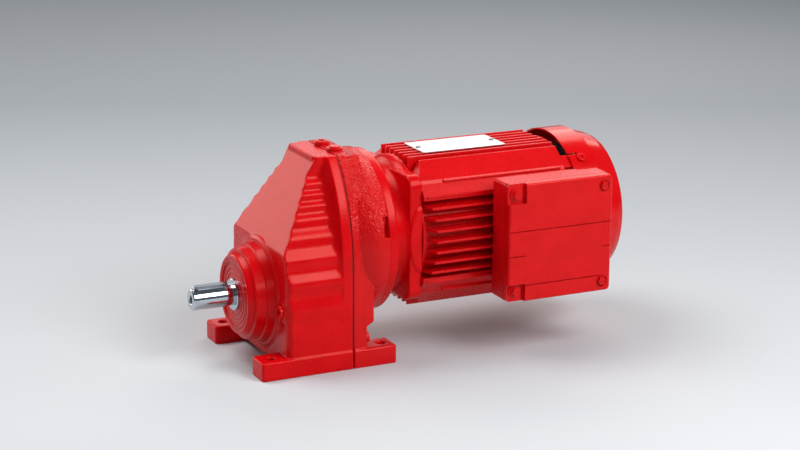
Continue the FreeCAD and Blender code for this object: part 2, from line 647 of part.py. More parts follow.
def drive_end_shield():
    profile = [(50, 15), (50, 29.98), (57, 29.98), (57, SHIELD_FLANGE_RADIUS)]
    profile += [(65.5, SHIELD_FLANGE_RADIUS), (66.5, SHIELD_FLANGE_RADIUS - 1), (66.5, 57)]
    profile += [(69, 55.8), (73, 55.6), (78, 56.8), (82, 58.6), (85, 61.2), (88, 65.0), (92, 67.6)]
    profile += [(97, 68.4), (97, 59.95), (101, 59.95), (101, 56), (90, 56), (80, 50), (75, 44)]
    profile += [(75, 29), (86, 29), (86, 23.5), (70, 23.5), (70, 11), (66, 11), (66, 15)]
    bell = lathe(profile, MOTOR_HEIGHT)
    corner = block(84.6, 97, -60, 60, MOTOR_HEIGHT - 60, MOTOR_HEIGHT + 60)
    corner = round_edges(corner, 12, lambda e: is_along(e, X_AXIS))
    corner = round_edges(corner, 1.5, lambda e: e.BoundBox.XMax < 84.7)
    corner = corner.cut(rod(80, 100, 58, MOTOR_HEIGHT))
    trim = block(66.6, 99, -62, 62, MOTOR_HEIGHT - 69, MOTOR_HEIGHT + 69)
    bell = fuse([bell.common(trim), bell.common(rod(40, 66.6, 90, MOTOR_HEIGHT)),
                 bell.common(rod(98.9, 102, 90, MOTOR_HEIGHT))])
    shield = fuse([bell, corner])
    threads = [rod(88, 102, TIE_SCREW_RADIUS, z, y) for y, z in tie_screw_places()]
    flange_threads = [rod(50, 64.5, FLANGE_SCREW_RADIUS, z, y)
                      for y, z in motor_flange_screw_places()]
    return cut_all(shield, threads + flange_threads)


def top_fin_places():
    return [TOP_FIN_PITCH * (k - 3) for k in range(7)]


def top_fin(y, x0, x1, rise, start):
    """One upright tapered fin on top of the motor."""
    outline = [(y - 1.7, MOTOR_HEIGHT + start), (y - 1.1, MOTOR_HEIGHT + rise)]
    outline += [(y + 1.1, MOTOR_HEIGHT + rise), (y + 1.7, MOTOR_HEIGHT + start)]
    return prism_x(outline, x0, x1)


def side_fin(level, x0, x1):
    """One level fin on the -Y side, its tip on the motor's outer circle."""
    z = MOTOR_HEIGHT + level
    tip = -math.sqrt(MOTOR_RADIUS ** 2 - level ** 2)
    outline = [(-45, z - 1.9), (tip, z - 1.1), (tip, z + 1.1), (-45, z + 1.9)]
    return prism_x(outline, x0, x1)


def corner_block(x0, x1):
    """Solid corner between the top fins and the side fins, with a bead along it, -Y side."""
    face = [(-34.0, 55.0), (-34.0, 68.9), (-36.5, 68.9), (-53.8, 53.9), (-55.4, 51.0)]
    face += [(-64.4, 41.4), (-64.4, 37.0), (-50.0, 37.0)]
    body = prism_x([(y, MOTOR_HEIGHT + rise) for y, rise in face], x0, x1)
    front_cut = [(x0 - 1, 190.0), (x0 + 10, 190.0), (x0 + 8, 180.0), (x0, 166.0), (x0 - 1, 166.0)]
    body = body.cut(prism_y(front_cut, -90, 0))
    bead = [(-50.0, 53.9), (-53.8, 53.9), (-56.6, 53.3), (-57.0, 51.9), (-55.4, 51.0), (-50.0, 51.0)]
    return body.fuse(prism_x([(y, MOTOR_HEIGHT + rise) for y, rise in bead], x0 + 24, x1 - 5))


def stator_housing():
    x0 = STATOR_START_X
    x1 = STATOR_END_X
    parts = [rod(x0, x1, 64.0, MOTOR_HEIGHT)]
    upper = [top_fin(y, x0, x1, TOP_FIN_RISE, 50) for y in top_fin_places()]
    near = fuse([side_fin(SIDE_FIN_PITCH * k, x0 + 1, x1 - 2) for k in range(-4, 5)])
    fin_plan = [(x0 + 1, -40), (x0 + 2, -62), (x0 + 9, -78), (x1 - 4, -78), (x1 - 2, -40)]
    near = near.common(prism_z(fin_plan, 0, 200))
    corner = corner_block(x0, x1)
    parts += upper + [turned(fin, 180, MOTOR_HEIGHT) for fin in upper]
    parts += [near, mirrored_y(near)]
    parts += [corner, mirrored_y(corner)]
    parts += [turned(corner, 180, MOTOR_HEIGHT), mirrored_y(turned(corner, 180, MOTOR_HEIGHT))]
    pad_z0 = MOTOR_HEIGHT - BASE_PAD_RISE - 0.5
    pad_z1 = MOTOR_HEIGHT + BASE_PAD_RISE + 0.5
    parts.append(block(BASE_PAD_X[0] - 0.5, BASE_PAD_X[1] + 0.5, PAD_Y, -50, pad_z0, pad_z1))
    housing = fuse(parts)
    tools = [rod(x0 - 1, x1 + 1, 58.0, MOTOR_HEIGHT)]
    tools += [rod(x0 - 1, x0 + 5, 60.0, MOTOR_HEIGHT), rod(x1 - 5, x1 + 1, 60.0, MOTOR_HEIGHT)]
    tools += [rod(x0 - 1, x1 + 1, TIE_SCREW_RADIUS + 0.2, z, y) for y, z in tie_screw_places()]
    tools.append(pin_y(-80, -50, 11, BOARD_X, MOTOR_HEIGHT - 24))
    tools += [pin_y(-75, -66, 2.5, x, z) for x, z in base_screw_places()]
    tools.append(block(BOX_X0 - 3, x1 + 1, -80, PAD_Y, pad_z0, pad_z1))
    return cut_all(housing, tools)


def stator_core():
    """Lamination stack with 24 open slots round the bore."""
    core = ring(118, 216, 58.0, 36.35, MOTOR_HEIGHT)
    slot = block(117, 217, -2.4, 2.4, MOTOR_HEIGHT + 35, MOTOR_HEIGHT + 47)
    return cut_all(core, [turned(slot, 15 * k, MOTOR_HEIGHT) for k in range(24)])


def stator_windings():
    """Copper in the slots and the lashed end turns on both sides."""
    bar = block(112, 222, -2.3, 2.3, MOTOR_HEIGHT + 37.5, MOTOR_HEIGHT + 46.9)
    bars = [turned(bar, 15 * k, MOTOR_HEIGHT) for k in range(24)]
    bars = fuse(bars)
    ends = []
    for x0, x1 in ((102.5, 117.9), (216.1, 232.0)):
        end = ring(x0, x1, 53.0, 37.6, MOTOR_HEIGHT)
        ends.append(round_edges(end, 4.0, lambda e: e.Curve.TypeId == "Part::GeomCircle"))
    return fuse([bars] + ends)


def rotor_shaft():
    profile = [(47, 5.5), (47, 8), (69, 8), (70, 10), (90, 10), (90, 12), (245, 12), (245, 8.5)]
    profile += [(262, 8.5), (262, 7), (296, 7), (297, 6), (297, 0), (66, 0), (66, 5.5)]
    shaft = lathe(profile, MOTOR_HEIGHT)
    groove = ring(291.0, 292.1, 9, 6.3, MOTOR_HEIGHT)
    return shaft.cut(groove)


def motor_pinion():
    teeth = toothed_disc(MOTOR_PINION_TEETH, 24, 37, MOTOR_HEIGHT)
    shank = rod(37, 65, 5.5, MOTOR_HEIGHT)
    return fuse([teeth, rod(37, 46.9, 6.4, MOTOR_HEIGHT), shank])


def rotor_core():
    """Laminated rotor with cast end rings and their small fan paddles."""
    core = ring(117, 217, 36.0, 12.0, MOTOR_HEIGHT)
    rings = [ring(111, 117, 33.0, 22.0, MOTOR_HEIGHT), ring(217, 223, 33.0, 22.0, MOTOR_HEIGHT)]
    paddle = block(103, 111, -1.2, 1.2, MOTOR_HEIGHT + 24, MOTOR_HEIGHT + 32)
    paddle_rear = block(223, 231, -1.2, 1.2, MOTOR_HEIGHT + 24, MOTOR_HEIGHT + 32)
    paddles = [turned(p, 45 * k, MOTOR_HEIGHT) for k in range(8) for p in (paddle, paddle_rear)]
    return fuse([core] + rings + paddles)


def rear_end_shield():
    x0 = STATOR_END_X
    seat_x = x0 + TIE_SEAT
    profile = [(x0 - 4, 56), (x0 - 4, 59.95), (x0, 59.95), (x0, 70), (x0 + 5, 70), (x0 + 8, 67)]
    profile += [(x0 + 10.5, 62), (x0 + 10.5, 56), (258, 40), (261, 27), (261, 10.5), (260.2, 10.5)]
    profile += [(260.2, 20), (246, 20), (246, 26), (250, 34), (x0 + 2, 56)]
    shield = lathe(profile, MOTOR_HEIGHT)
    lug_z = MOTOR_HEIGHT + GUARD_LUG_RISE
    lug = block(x0 + 1, GUARD_SCREW_X + 5, -7, 7, lug_z, MOTOR_HEIGHT + 74.5)
    lug = lug.common(rod(x0, GUARD_SCREW_X + 6, 75.2, MOTOR_HEIGHT))
    lug = fuse([lug, block(x0 + 1, seat_x - 1, -7, 7, MOTOR_HEIGHT + 66, lug_z + 1)])
    lugs = [turned(lug, angle, MOTOR_HEIGHT) for angle in GUARD_SCREW_ANGLES]
    corner = [rod(x0, seat_x, 7.0, z, y) for y, z in tie_screw_places()]
    holes = [rod(x0 - 5, seat_x + 1, TIE_SCREW_RADIUS + 0.2, z, y) for y, z in tie_screw_places()]
    holes += [rod(seat_x, 270, 5.6, z, y) for y, z in tie_screw_places()]
    holes += [turned(guard_screw_hole(2.0), a, MOTOR_HEIGHT) for a in GUARD_SCREW_ANGLES]
    return cut_all(fuse([shield] + lugs + corner), holes)



def guard_screw_hole(radius):
    return pin_z(MOTOR_HEIGHT + 60, MOTOR_HEIGHT + 80, radius, GUARD_SCREW_X, 0)


def fan_guard():
    """Thin pressed hood over the fan, with a ring grille in its rear wall."""
    t = 1.6
    r = MOTOR_RADIUS
    outer = [(GUARD_START_X, r), (GUARD_STEP_X, r), (GUARD_STEP_X + 0.4, r - 1.5)]
    outer += [(GUARD_STEP_X + 4, r - 2.9), (303, 69.8), (308.5, 67.2), (311, 63.5)]
    outer += [(GUARD_END_X, 58.5), (GUARD_END_X, 0)]
    inner = [(GUARD_END_X - t, 0), (GUARD_END_X - t, 58.2), (309.6, 62.6), (307.4, 65.9)]
    inner += [(302.4, 68.2), (GUARD_STEP_X + 3.4, r - 4.5), (GUARD_STEP_X - 1.2, r - 3.1)]
    inner += [(GUARD_STEP_X - 1.6, r - t)]
    inner += [(GUARD_START_X, r - t)]
    hood = lathe(outer + inner, MOTOR_HEIGHT)
    ribs = [turned(block(300, 320, -2.2, 2.2, MOTOR_HEIGHT, MOTOR_HEIGHT + 60), 45 * k, MOTOR_HEIGHT)
            for k in range(8)]
    ribs = fuse(ribs)
    slots = []
    for k in range(5):
        slot = ring(305, 315, 20.5 + 9 * k, 15 + 9 * k, MOTOR_HEIGHT)
        slots.append(slot.cut(ribs))
    notch = block(GUARD_START_X - 1, GUARD_START_X + 9.5, 4.9, 7.3, MOTOR_HEIGHT + 70, 220)
    tools = slots + [turned(notch, a, MOTOR_HEIGHT) for a in GUARD_SCREW_ANGLES]
    tools += [turned(guard_screw_hole(2.2), a, MOTOR_HEIGHT) for a in GUARD_SCREW_ANGLES]
    return cut_all(hood, tools)


def fan_guard_screws():
    screw = fuse([pin_z(MOTOR_HEIGHT + 66, MOTOR_HEIGHT + 77, 2.0, GUARD_SCREW_X, 0),
                  pin_z(MOTOR_HEIGHT + 77.0, MOTOR_HEIGHT + 79.4, 4.4, GUARD_SCREW_X, 0)])
    screw = round_edges(screw, 0.8, lambda e: e.BoundBox.ZMin > MOTOR_HEIGHT + 79.3)
    socket = prism_z(hexagon(3.0, GUARD_SCREW_X, 0), MOTOR_HEIGHT + 78, MOTOR_HEIGHT + 80)
    return [turned(screw.cut(socket), a, MOTOR_HEIGHT) for a in GUARD_SCREW_ANGLES]


def tie_screws():
    seat = STATOR_END_X + TIE_SEAT
    return [socket_screw(90, seat, 5.5, TIE_SCREW_RADIUS, 5.0, y, z)
            for y, z in tie_screw_places()]


def wave_washer():
    """Preload ring between the rear bearing and its seat, bent into three waves."""
    return ring(259.0, 260.1, 19.2, 15.5, MOTOR_HEIGHT)


def cooling_fan():
    hub = ring(268, 290.5, 13, 7, MOTOR_HEIGHT)
    disc = ring(269, 271.5, 62, 12.5, MOTOR_HEIGHT)
    blade = block(271, 291, -1.3, 1.3, MOTOR_HEIGHT + 22, MOTOR_HEIGHT + 61)
    blades = [turned(blade, 30 * k, MOTOR_HEIGHT) for k in range(12)]
    return fuse([hub, disc] + blades)


# ---- nameplate ----------------------------------------------------------------------------
def nameplate():
    x0, x1, y0, y1 = PLATE
    plate = block(x0, x1, y0, y1, PLATE_Z, PLATE_Z + PLATE_THICKNESS)
    plate = round_edges(plate, 2.0, lambda e: is_along(e, Z_AXIS))
    return cut_all(plate, [pin_z(PLATE_Z - 1, PLATE_Z + 2, 1.3, x, y) for x, y in RIVETS])


def nameplate_rivets():
    top = PLATE_Z + PLATE_THICKNESS
    rivets = []
    for x, y in RIVETS:
        head = round_edges(pin_z(top, top + 0.9, 2.4, x, y), 0.6,
                           lambda e: e.BoundBox.ZMin > top + 0.8)
        rivets.append(fuse([head, pin_z(PLATE_Z, top, 1.3, x, y)]))
    return rivets


# ---- terminal box -------------------------------------------------------------------------
def base_screw_places():
    return [(x, MOTOR_HEIGHT + rise) for x in (180.0, 238.0) for rise in (-30.0, 30.0)]


def box_plan(inset, front_y):
    """(x, y) plan of the box: its back steps out to clear the fan guard."""
    floor_y = BOX_BACK_Y - inset
    step = floor_y - 4.7
    left = BOX_X0 + inset
    right = BOX_X1 - inset
    return [(left, front_y), (left, floor_y), (246, floor_y), (252, step), (right, step),
            (right, front_y)]


def terminal_box_base():
    wall = 3.6
    body = prism_z(box_plan(0, BOX_SPLIT_Y), BOX_Z0, BOX_Z1)
    body = round_edges(body, 3.0, lambda e: is_along(e, Y_AXIS))
    hollow = prism_z(box_plan(wall, BOX_SPLIT_Y - 1), BOX_Z0 + wall, BOX_Z1 - wall)
    pillars = [pin_y(BOX_SPLIT_Y, -80.5, 6.5, x, z).common(body) for x, z in BOX_SCREWS]
    shell = fuse([body.cut(hollow)] + pillars)
    tools = [pin_y(-99, -84, 2.5, x, z) for x, z in BOX_SCREWS]
    tools.append(pin_y(-80, -74, 11, BOARD_X, MOTOR_HEIGHT - 24))
    tools += [pin_y(-80, -74, 2.8, x, z) for x, z in base_screw_places()]
    tools += [pin_z(BOX_Z0 - 1, BOX_Z0 + 5, 7.9, x, ENTRY_Y) for x in ENTRY_X]
    return cut_all(shell, tools)



def closure_plugs():
    """Screwed plugs that close the two cable entries underneath."""
    plugs = []
    for x in ENTRY_X:
        head = pin_z(BOX_Z0 - 3.2, BOX_Z0, 9.2, x, ENTRY_Y)
        head = round_edges(head, 1.0, lambda e: e.BoundBox.ZMax < BOX_Z0 - 3.1)
        plug = fuse([head, pin_z(BOX_Z0, BOX_Z0 + 6, 7.8, x, ENTRY_Y)])
        slot = block(x - 6, x + 6, ENTRY_Y - 1, ENTRY_Y + 1, BOX_Z0 - 4, BOX_Z0 - 1.7)
        plugs.append(plug.cut(slot))
    return plugs


def base_gasket():
    pad = block(*BASE_PAD_X, BOX_BACK_Y, PAD_Y, MOTOR_HEIGHT - BASE_PAD_RISE,
                MOTOR_HEIGHT + BASE_PAD_RISE)
    tools = [pin_y(-76, -74, 12, BOARD_X, MOTOR_HEIGHT - 24)]
    tools += [pin_y(-76, -74, 2.8, x, z) for x, z in base_screw_places()]
    return cut_all(pad, tools)


def base_screws():
    screws = []
    for x, z in base_screw_places():
        head = pin_y(-82.2, -78.9, 4.3, x, z)
        body = fuse([head, pin_y(-78.9, -67, 2.5, x, z)])
        screws.append(body.cut(block(x - 5, x + 5, -83, -81, z - 0.6, z + 0.6)))
    return screws



def cover_gasket():
    y0 = BOX_SPLIT_Y - COVER_GASKET
    sheet = block(BOX_X0 + 0.6, BOX_X1 - 0.6, y0, BOX_SPLIT_Y, BOX_Z0 + 0.6, BOX_Z1 - 0.6)
    window = block(BOX_X0 + 3.6, BOX_X1 - 3.6, y0 - 1, BOX_SPLIT_Y + 1, BOX_Z0 + 3.6, BOX_Z1 - 3.6)
    window = cut_all(window, [pin_y(y0 - 2, BOX_SPLIT_Y + 2, 6.5, x, z) for x, z in BOX_SCREWS])
    return cut_all(sheet, [window] + [pin_y(y0 - 1, -97, 2.8, x, z) for x, z in BOX_SCREWS])


def terminal_box_cover():
    """Flat cover with bevelled edges and stepped-down screw corners on the -X side."""
    back = BOX_SPLIT_Y - COVER_GASKET
    plate = block(BOX_X0, BOX_X1, BOX_FACE_Y, back, BOX_Z0, BOX_Z1)
    plate = round_edges(plate, 4.0, lambda e: is_along(e, Y_AXIS))
    plate = round_edges(plate, 2.2, lambda e: e.BoundBox.YMax < BOX_FACE_Y + 0.1)
    pocket_y = BOX_FACE_Y + 5.0
    split_x = BOX_X0 + 17.5
    pockets = [block(BOX_X0 - 1, split_x, BOX_FACE_Y - 1, pocket_y, BOX_Z1 - 18.5, BOX_Z1 + 1)]
    pockets.append(block(BOX_X0 - 1, split_x, BOX_FACE_Y - 1, pocket_y, BOX_Z0 - 1, BOX_Z0 + 17))
    hollow = block(BOX_X0 + 3.6, BOX_X1 - 3.6, BOX_FACE_Y + 3, back + 1, BOX_Z0 + 3.6, BOX_Z1 - 3.6)
    solid_corners = [block(BOX_X0, split_x + 3, -110, -90, BOX_Z1 - 21.5, BOX_Z1)]
    solid_corners.append(block(BOX_X0, split_x + 3, -110, -90, BOX_Z0, BOX_Z0 + 20))
    solid_corners += [pin_y(-110, -90, 7.5, x, z) for x, z in BOX_SCREWS]
    hollow = cut_all(hollow, solid_corners)
    left = [place for place in BOX_SCREWS if place[0] < BOARD_X]
    right = [place for place in BOX_SCREWS if place[0] > BOARD_X]
    seats = [pin_y(pocket_y - 1.5, pocket_y + 1, 6.2, x, z) for x, z in left]
    cover = fuse([cut_all(plate, pockets + [hollow])] + seats)
    tools = [pin_y(BOX_FACE_Y - 1, BOX_FACE_Y + 1.5, 5.6, x, z) for x, z in right]
    tools += [pin_y(BOX_FACE_Y - 1, back + 1, 2.8, x, z) for x, z in BOX_SCREWS]
    for x0, x1, z in COVER_CREASES:
        tools.append(block(x0, x1, BOX_FACE_Y - 1, BOX_FACE_Y + CREASE_DEPTH,
                           z - CREASE_WIDTH / 2, z + CREASE_WIDTH / 2))
    return cut_all(cover, tools)


def cover_screws():
    """Flanged cover screws with a cross-slotted hexagon head."""
    screws = []
    for x, z in BOX_SCREWS:
        seat = BOX_FACE_Y + (3.5 if x < BOARD_X else 1.5)
        head = prism_y(hexagon(7.2, x, z), seat - 3.4, seat - 0.9)
        collar = pin_y(seat - 0.9, seat, 4.9, x, z)
        body = fuse([head, collar, pin_y(seat, -86, 2.5, x, z)])
        screws.append(body.cut(block(x - 5, x + 5, seat - 4, seat - 2.6, z - 0.5, z + 0.5)))
    return screws


def stud_places():
    return [(BOARD_X + 13 * (column - 1), MOTOR_HEIGHT + 6 + 18 * row)
            for column in range(3) for row in (0, 1)]


def terminal_board():
    floor = BOX_BACK_Y - 3.6
    z0 = MOTOR_HEIGHT - 4
    board = block(BOARD_X - 21, BOARD_X + 21, floor - 6, floor, z0, z0 + 38)
    board = round_edges(board, 2.0, lambda e: is_along(e, Y_AXIS))
    ribs = [block(BOARD_X + x - 0.9, BOARD_X + x + 0.9, floor - 9, floor - 5.5, z0 + 3, z0 + 35)
            for x in (-6.5, 6.5)]
    board = fuse([board] + ribs)
    return cut_all(board, [pin_y(floor - 10, floor - 1.5, 2.0, x, z) for x, z in stud_places()])


def terminal_studs():
    floor = BOX_BACK_Y - 3.6
    return [pin_y(floor - 17, floor - 1.5, 2.0, x, z) for x, z in stud_places()]


def terminal_links():
    """Three brass bridges, each joining the two studs of one column."""
    y1 = BOX_BACK_Y - 9.6
    links = []
    for x, z in stud_places()[::2]:
        bar = block(x - 3.6, x + 3.6, y1 - 1, y1, z - 4, z + 22)
        bar = round_edges(bar, 3.0, lambda e: is_along(e, Y_AXIS))
        links.append(cut_all(bar, [pin_y(y1 - 2, y1 + 1, 2.0, x, z + 18 * k) for k in (0, 1)]))
    return links


def terminal_nuts():
    y1 = BOX_BACK_Y - 10.6
    nuts = [prism_y(hexagon(7.0, x, z), y1 - 3.2, y1) for x, z in stud_places()]
    return [nut.cut(pin_y(y1 - 5, y1 + 1, 2.0, x, z)) for nut, (x, z) in zip(nuts, stud_places())]


def earth_screw():
    floor = BOX_BACK_Y - 3.6
    x = 190.0
    z = MOTOR_HEIGHT - 22
    body = fuse([pin_y(floor - 5, floor, 5.0, x, z), prism_y(hexagon(8.0, x, z), floor - 8, floor - 5)])
    return body


# ---- write every node ---------------------------------------------------------------------
def write(name, shape):
    solids = shape if isinstance(shape, list) else [shape]
    result = solids[0] if len(solids) == 1 else Part.makeCompound(solids)
    result.exportStep("parts/" + name + ".step")
    boxes = result.BoundBox
    print(name, len(result.Solids), result.isValid(), round(result.Volume),
          [round(v, 1) for v in (boxes.XMin, boxes.XMax, boxes.YMin, boxes.YMax,
                                 boxes.ZMin, boxes.ZMax)])


def write_bearings(name, bearings, z):
    made = [ball_bearing(x0, x1, bore, outer, z, balls) for x0, x1, bore, outer, balls in bearings]
    outer_rings, inner_rings, ball_sets = zip(*made)
    write(name + "_bearing_outer_rings", list(outer_rings))
    write(name + "_bearing_inner_rings", list(inner_rings))
    write(name + "_bearing_balls", list(ball_sets))


def write_gear_case():
    write("gear_case_front", gear_case_front())
    write("gear_case_rear", gear_case_rear())
    write("case_gasket", case_gasket())
    write("case_screws", case_screws())
    write("filler_plug", top_plug(*PLUG_PLACES[0], False))
    write("breather_plug", top_plug(*PLUG_PLACES[1], True))
    write("level_plug", side_plug(LEVEL_BOSS_X, -1, *LEVEL_PLUG))
    write("drain_plug", side_plug(37.5, 1, 0, DRAIN_PLUG_Z))


def write_output_set():
    write_bearings("output", OUTPUT_BEARINGS, SHAFT_HEIGHT)
    seal = lip_seal(*OUTPUT_SEAL_X, COLLAR_RADIUS, SEAL_SEAT_RADIUS, SHAFT_HEIGHT)
    write("output_oil_seal", seal)
    write("output_bearing_circlip", circlip(-57.8, -56.1, 32.4, 28.5, SHAFT_HEIGHT, -1))
    write("output_shaft", output_shaft())
    write("output_key", output_key())
    write("output_wheel", output_wheel())
    write("output_wheel_key", output_wheel_key())
    write("output_spacer", ring(19, 23, 12.5, 10, SHAFT_HEIGHT))


def write_layshaft_set():
    write_bearings("layshaft", LAYSHAFT_BEARINGS, LAYSHAFT_HEIGHT)
    write("layshaft", layshaft())
    write("layshaft_keys", layshaft_keys())
    write("layshaft_pinion", layshaft_gear(SECOND_PINION_TEETH, *SECOND_STAGE_X))
    write("layshaft_wheel", layshaft_gear(FIRST_WHEEL_TEETH, *FIRST_STAGE_X))
    write("layshaft_circlips", layshaft_circlips())


def write_motor():
    write_bearings("motor", MOTOR_BEARINGS, MOTOR_HEIGHT)
    write("motor_oil_seal", lip_seal(58, 65.5, 8, 15, MOTOR_HEIGHT))
    write("motor_flange_screws", motor_flange_screws())
    write("drive_end_shield", drive_end_shield())
    write("stator_housing", stator_housing())
    write("stator_core", stator_core())
    write("stator_windings", stator_windings())
    write("rotor_shaft", rotor_shaft())
    write("motor_pinion", motor_pinion())
    write("rotor_core", rotor_core())
    write("rear_end_shield", rear_end_shield())
    write("wave_washer", wave_washer())
    write("tie_screws", tie_screws())
    write("cooling_fan", cooling_fan())
    write("fan_circlip", circlip(291.0, 292.0, 10.0, 6.3, MOTOR_HEIGHT, 1))
    write("fan_guard", fan_guard())
    write("fan_guard_screws", fan_guard_screws())
    write("nameplate", nameplate())
    write("nameplate_rivets", nameplate_rivets())


def write_terminal_box():
    write("base_gasket", base_gasket())
    write("terminal_box_base", terminal_box_base())
    write("base_screws", base_screws())
    write("cover_gasket", cover_gasket())
    write("terminal_box_cover", terminal_box_cover())
    write("cover_screws", cover_screws())
    write("closure_plugs", closure_plugs())
    write("terminal_board", terminal_board())
    write("terminal_studs", terminal_studs())
    write("terminal_links", terminal_links())
    write("terminal_nuts", terminal_nuts())
    write("earth_screw", earth_screw())


os.makedirs("parts", exist_ok=True)
write_gear_case()
write_output_set()
write_layshaft_set()
write_motor()
write_terminal_box()
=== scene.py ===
import json
import math

import bmesh
import bpy
from mathutils import Matrix, Vector


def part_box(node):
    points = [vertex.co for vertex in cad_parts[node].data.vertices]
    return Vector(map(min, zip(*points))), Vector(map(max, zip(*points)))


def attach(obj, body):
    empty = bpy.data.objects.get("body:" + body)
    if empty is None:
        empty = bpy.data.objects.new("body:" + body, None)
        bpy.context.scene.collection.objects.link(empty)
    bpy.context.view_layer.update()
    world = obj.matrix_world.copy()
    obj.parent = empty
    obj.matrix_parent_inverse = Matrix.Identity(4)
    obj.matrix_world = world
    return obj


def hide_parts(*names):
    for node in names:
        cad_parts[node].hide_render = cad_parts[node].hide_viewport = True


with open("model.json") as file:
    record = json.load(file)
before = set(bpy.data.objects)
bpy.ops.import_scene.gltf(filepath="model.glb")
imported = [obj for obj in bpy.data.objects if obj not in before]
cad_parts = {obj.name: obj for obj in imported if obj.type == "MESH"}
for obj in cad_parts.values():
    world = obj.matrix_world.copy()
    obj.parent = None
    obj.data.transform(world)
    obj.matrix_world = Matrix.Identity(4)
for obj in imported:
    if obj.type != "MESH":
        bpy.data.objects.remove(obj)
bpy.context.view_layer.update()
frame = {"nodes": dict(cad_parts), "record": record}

nodes = frame["nodes"]

# ---- camera -------------------------------------------------------------------------------
CAMERA_AZIMUTH = math.radians(-25.63)
CAMERA_ELEVATION = math.radians(15.41)
CAMERA_ROLL = math.radians(0.32)
CAMERA_PLACE = Vector((-0.7288, -1.7347, 0.6402))
CAMERA_LENS = 94.5
SENSOR_WIDTH = 36


def make_camera():
    back = Vector((math.sin(CAMERA_AZIMUTH) * math.cos(CAMERA_ELEVATION),
                   -math.cos(CAMERA_AZIMUTH) * math.cos(CAMERA_ELEVATION),
                   math.sin(CAMERA_ELEVATION)))
    level = Vector((math.cos(CAMERA_AZIMUTH), math.sin(CAMERA_AZIMUTH), 0))
    upright = back.cross(level)
    right = level * math.cos(CAMERA_ROLL) + upright * math.sin(CAMERA_ROLL)
    up = back.cross(right)
    camera = bpy.data.objects.new("camera", bpy.data.cameras.new("camera"))
    camera.data.lens = CAMERA_LENS
    camera.data.sensor_width = SENSOR_WIDTH
    axes = Matrix((right, up, back)).transposed()
    camera.matrix_world = Matrix.Translation(CAMERA_PLACE) @ axes.to_4x4()
    bpy.context.scene.collection.objects.link(camera)
    bpy.context.scene.camera = camera


# ---- node helpers -------------------------------------------------------------------------
BEVEL_SAMPLES = 6
FADED_SHARE = 0.12               # share of a height map that is left below its fade


class Shader:
    """A small wrapper that adds nodes to one material."""

    def __init__(self, name):
        self.material = bpy.data.materials.new(name)
        self.material.use_nodes = True
        self.tree = self.material.node_tree
        self.bsdf = self.tree.nodes["Principled BSDF"]

    def add(self, kind, **settings):
        node = self.tree.nodes.new(kind)
        for key, value in settings.items():
            setattr(node, key, value)
        return node

    def link(self, source, target):
        self.tree.links.new(source, target)

    def value(self, socket, number):
        self.bsdf.inputs[socket].default_value = number

    def position(self):
        return self.add("ShaderNodeNewGeometry").outputs["Position"]

    def noise(self, scale, detail=2.0, roughness=0.5, vector=None):
        node = self.add("ShaderNodeTexNoise")
        node.inputs["Scale"].default_value = scale
        node.inputs["Detail"].default_value = detail
        node.inputs["Roughness"].default_value = roughness
        self.link(vector or self.position(), node.inputs["Vector"])
        return node.outputs["Fac"]

    def ramp(self, source, low, high, out_low, out_high):
        node = self.add("ShaderNodeMapRange")
        for key, number in (("From Min", low), ("From Max", high),
                            ("To Min", out_low), ("To Max", out_high)):
            node.inputs[key].default_value = number
        self.link(source, node.inputs["Value"])
        return node.outputs["Result"]

    def blend(self, factor, first, second):
        node = self.add("ShaderNodeMix", data_type="RGBA")
        self.link(factor, node.inputs["Factor"])
        node.inputs["A"].default_value = (*first, 1)
        node.inputs["B"].default_value = (*second, 1)
        return node.outputs["Result"]

    def bump(self, height, distance, strength=1.0, normal=None):
        node = self.add("ShaderNodeBump")
        node.inputs["Distance"].default_value = distance
        node.inputs["Strength"].default_value = strength
        self.link(height, node.inputs["Height"])
        if normal:
            self.link(normal, node.inputs["Normal"])
        return node.outputs["Normal"]

    def fade_up(self, source, low, high):
        """The source, faded in between two heights over the floor."""
        axes = self.add("ShaderNodeSeparateXYZ")
        self.link(self.position(), axes.inputs["Vector"])
        product = self.add("ShaderNodeMath", operation="MULTIPLY")
        self.link(self.ramp(axes.outputs["Z"], low, high, FADED_SHARE, 1), product.inputs[0])
        self.link(source, product.inputs[1])
        return product.outputs["Value"]

    def rounded(self, radius):
        node = self.add("ShaderNodeBevel", samples=BEVEL_SAMPLES)
        node.inputs["Radius"].default_value = radius
        return node.outputs["Normal"]


RED_LOW = (0.60, 0.001, 0.003)
RED_HIGH = (0.66, 0.002, 0.005)
RED_GLINT = (1.0, 0.42, 0.38, 1)
TONE_SCALE = 45
GLOSS_SCALE = 700
PEEL_SCALE = 1500
PEEL_DEPTH = 0.00004


def red_paint(name, grain, grain_scale, edge, gloss=(0.24, 0.36), shine=0.42, rough_over=None):
    """Red enamel: fine orange peel over a base that is pressed sheet or rough casting.

    rough_over is the pair of heights between which the grain fades in.
    """
    s = Shader(name)
    tone = s.ramp(s.noise(TONE_SCALE, 3), 0.35, 0.65, 0, 1)
    s.link(s.blend(tone, RED_LOW, RED_HIGH), s.bsdf.inputs["Base Color"])
    s.link(s.ramp(s.noise(GLOSS_SCALE, 2), 0.3, 0.7, *gloss), s.bsdf.inputs["Roughness"])
    peel = s.bump(s.noise(PEEL_SCALE, 1), PEEL_DEPTH, 0.5, s.rounded(edge))
    skin = s.noise(grain_scale, 2, 0.55)
    if rough_over:
        skin = s.fade_up(skin, *rough_over)
    cast = s.bump(skin, grain, 1.0, peel)
    s.link(cast, s.bsdf.inputs["Normal"])
    s.value("Specular IOR Level", shine)
    s.value("Specular Tint", RED_GLINT)
    return s.material


ALONG_X = (0.1, 1, 1)            # stretch of tool marks that run along the shafts


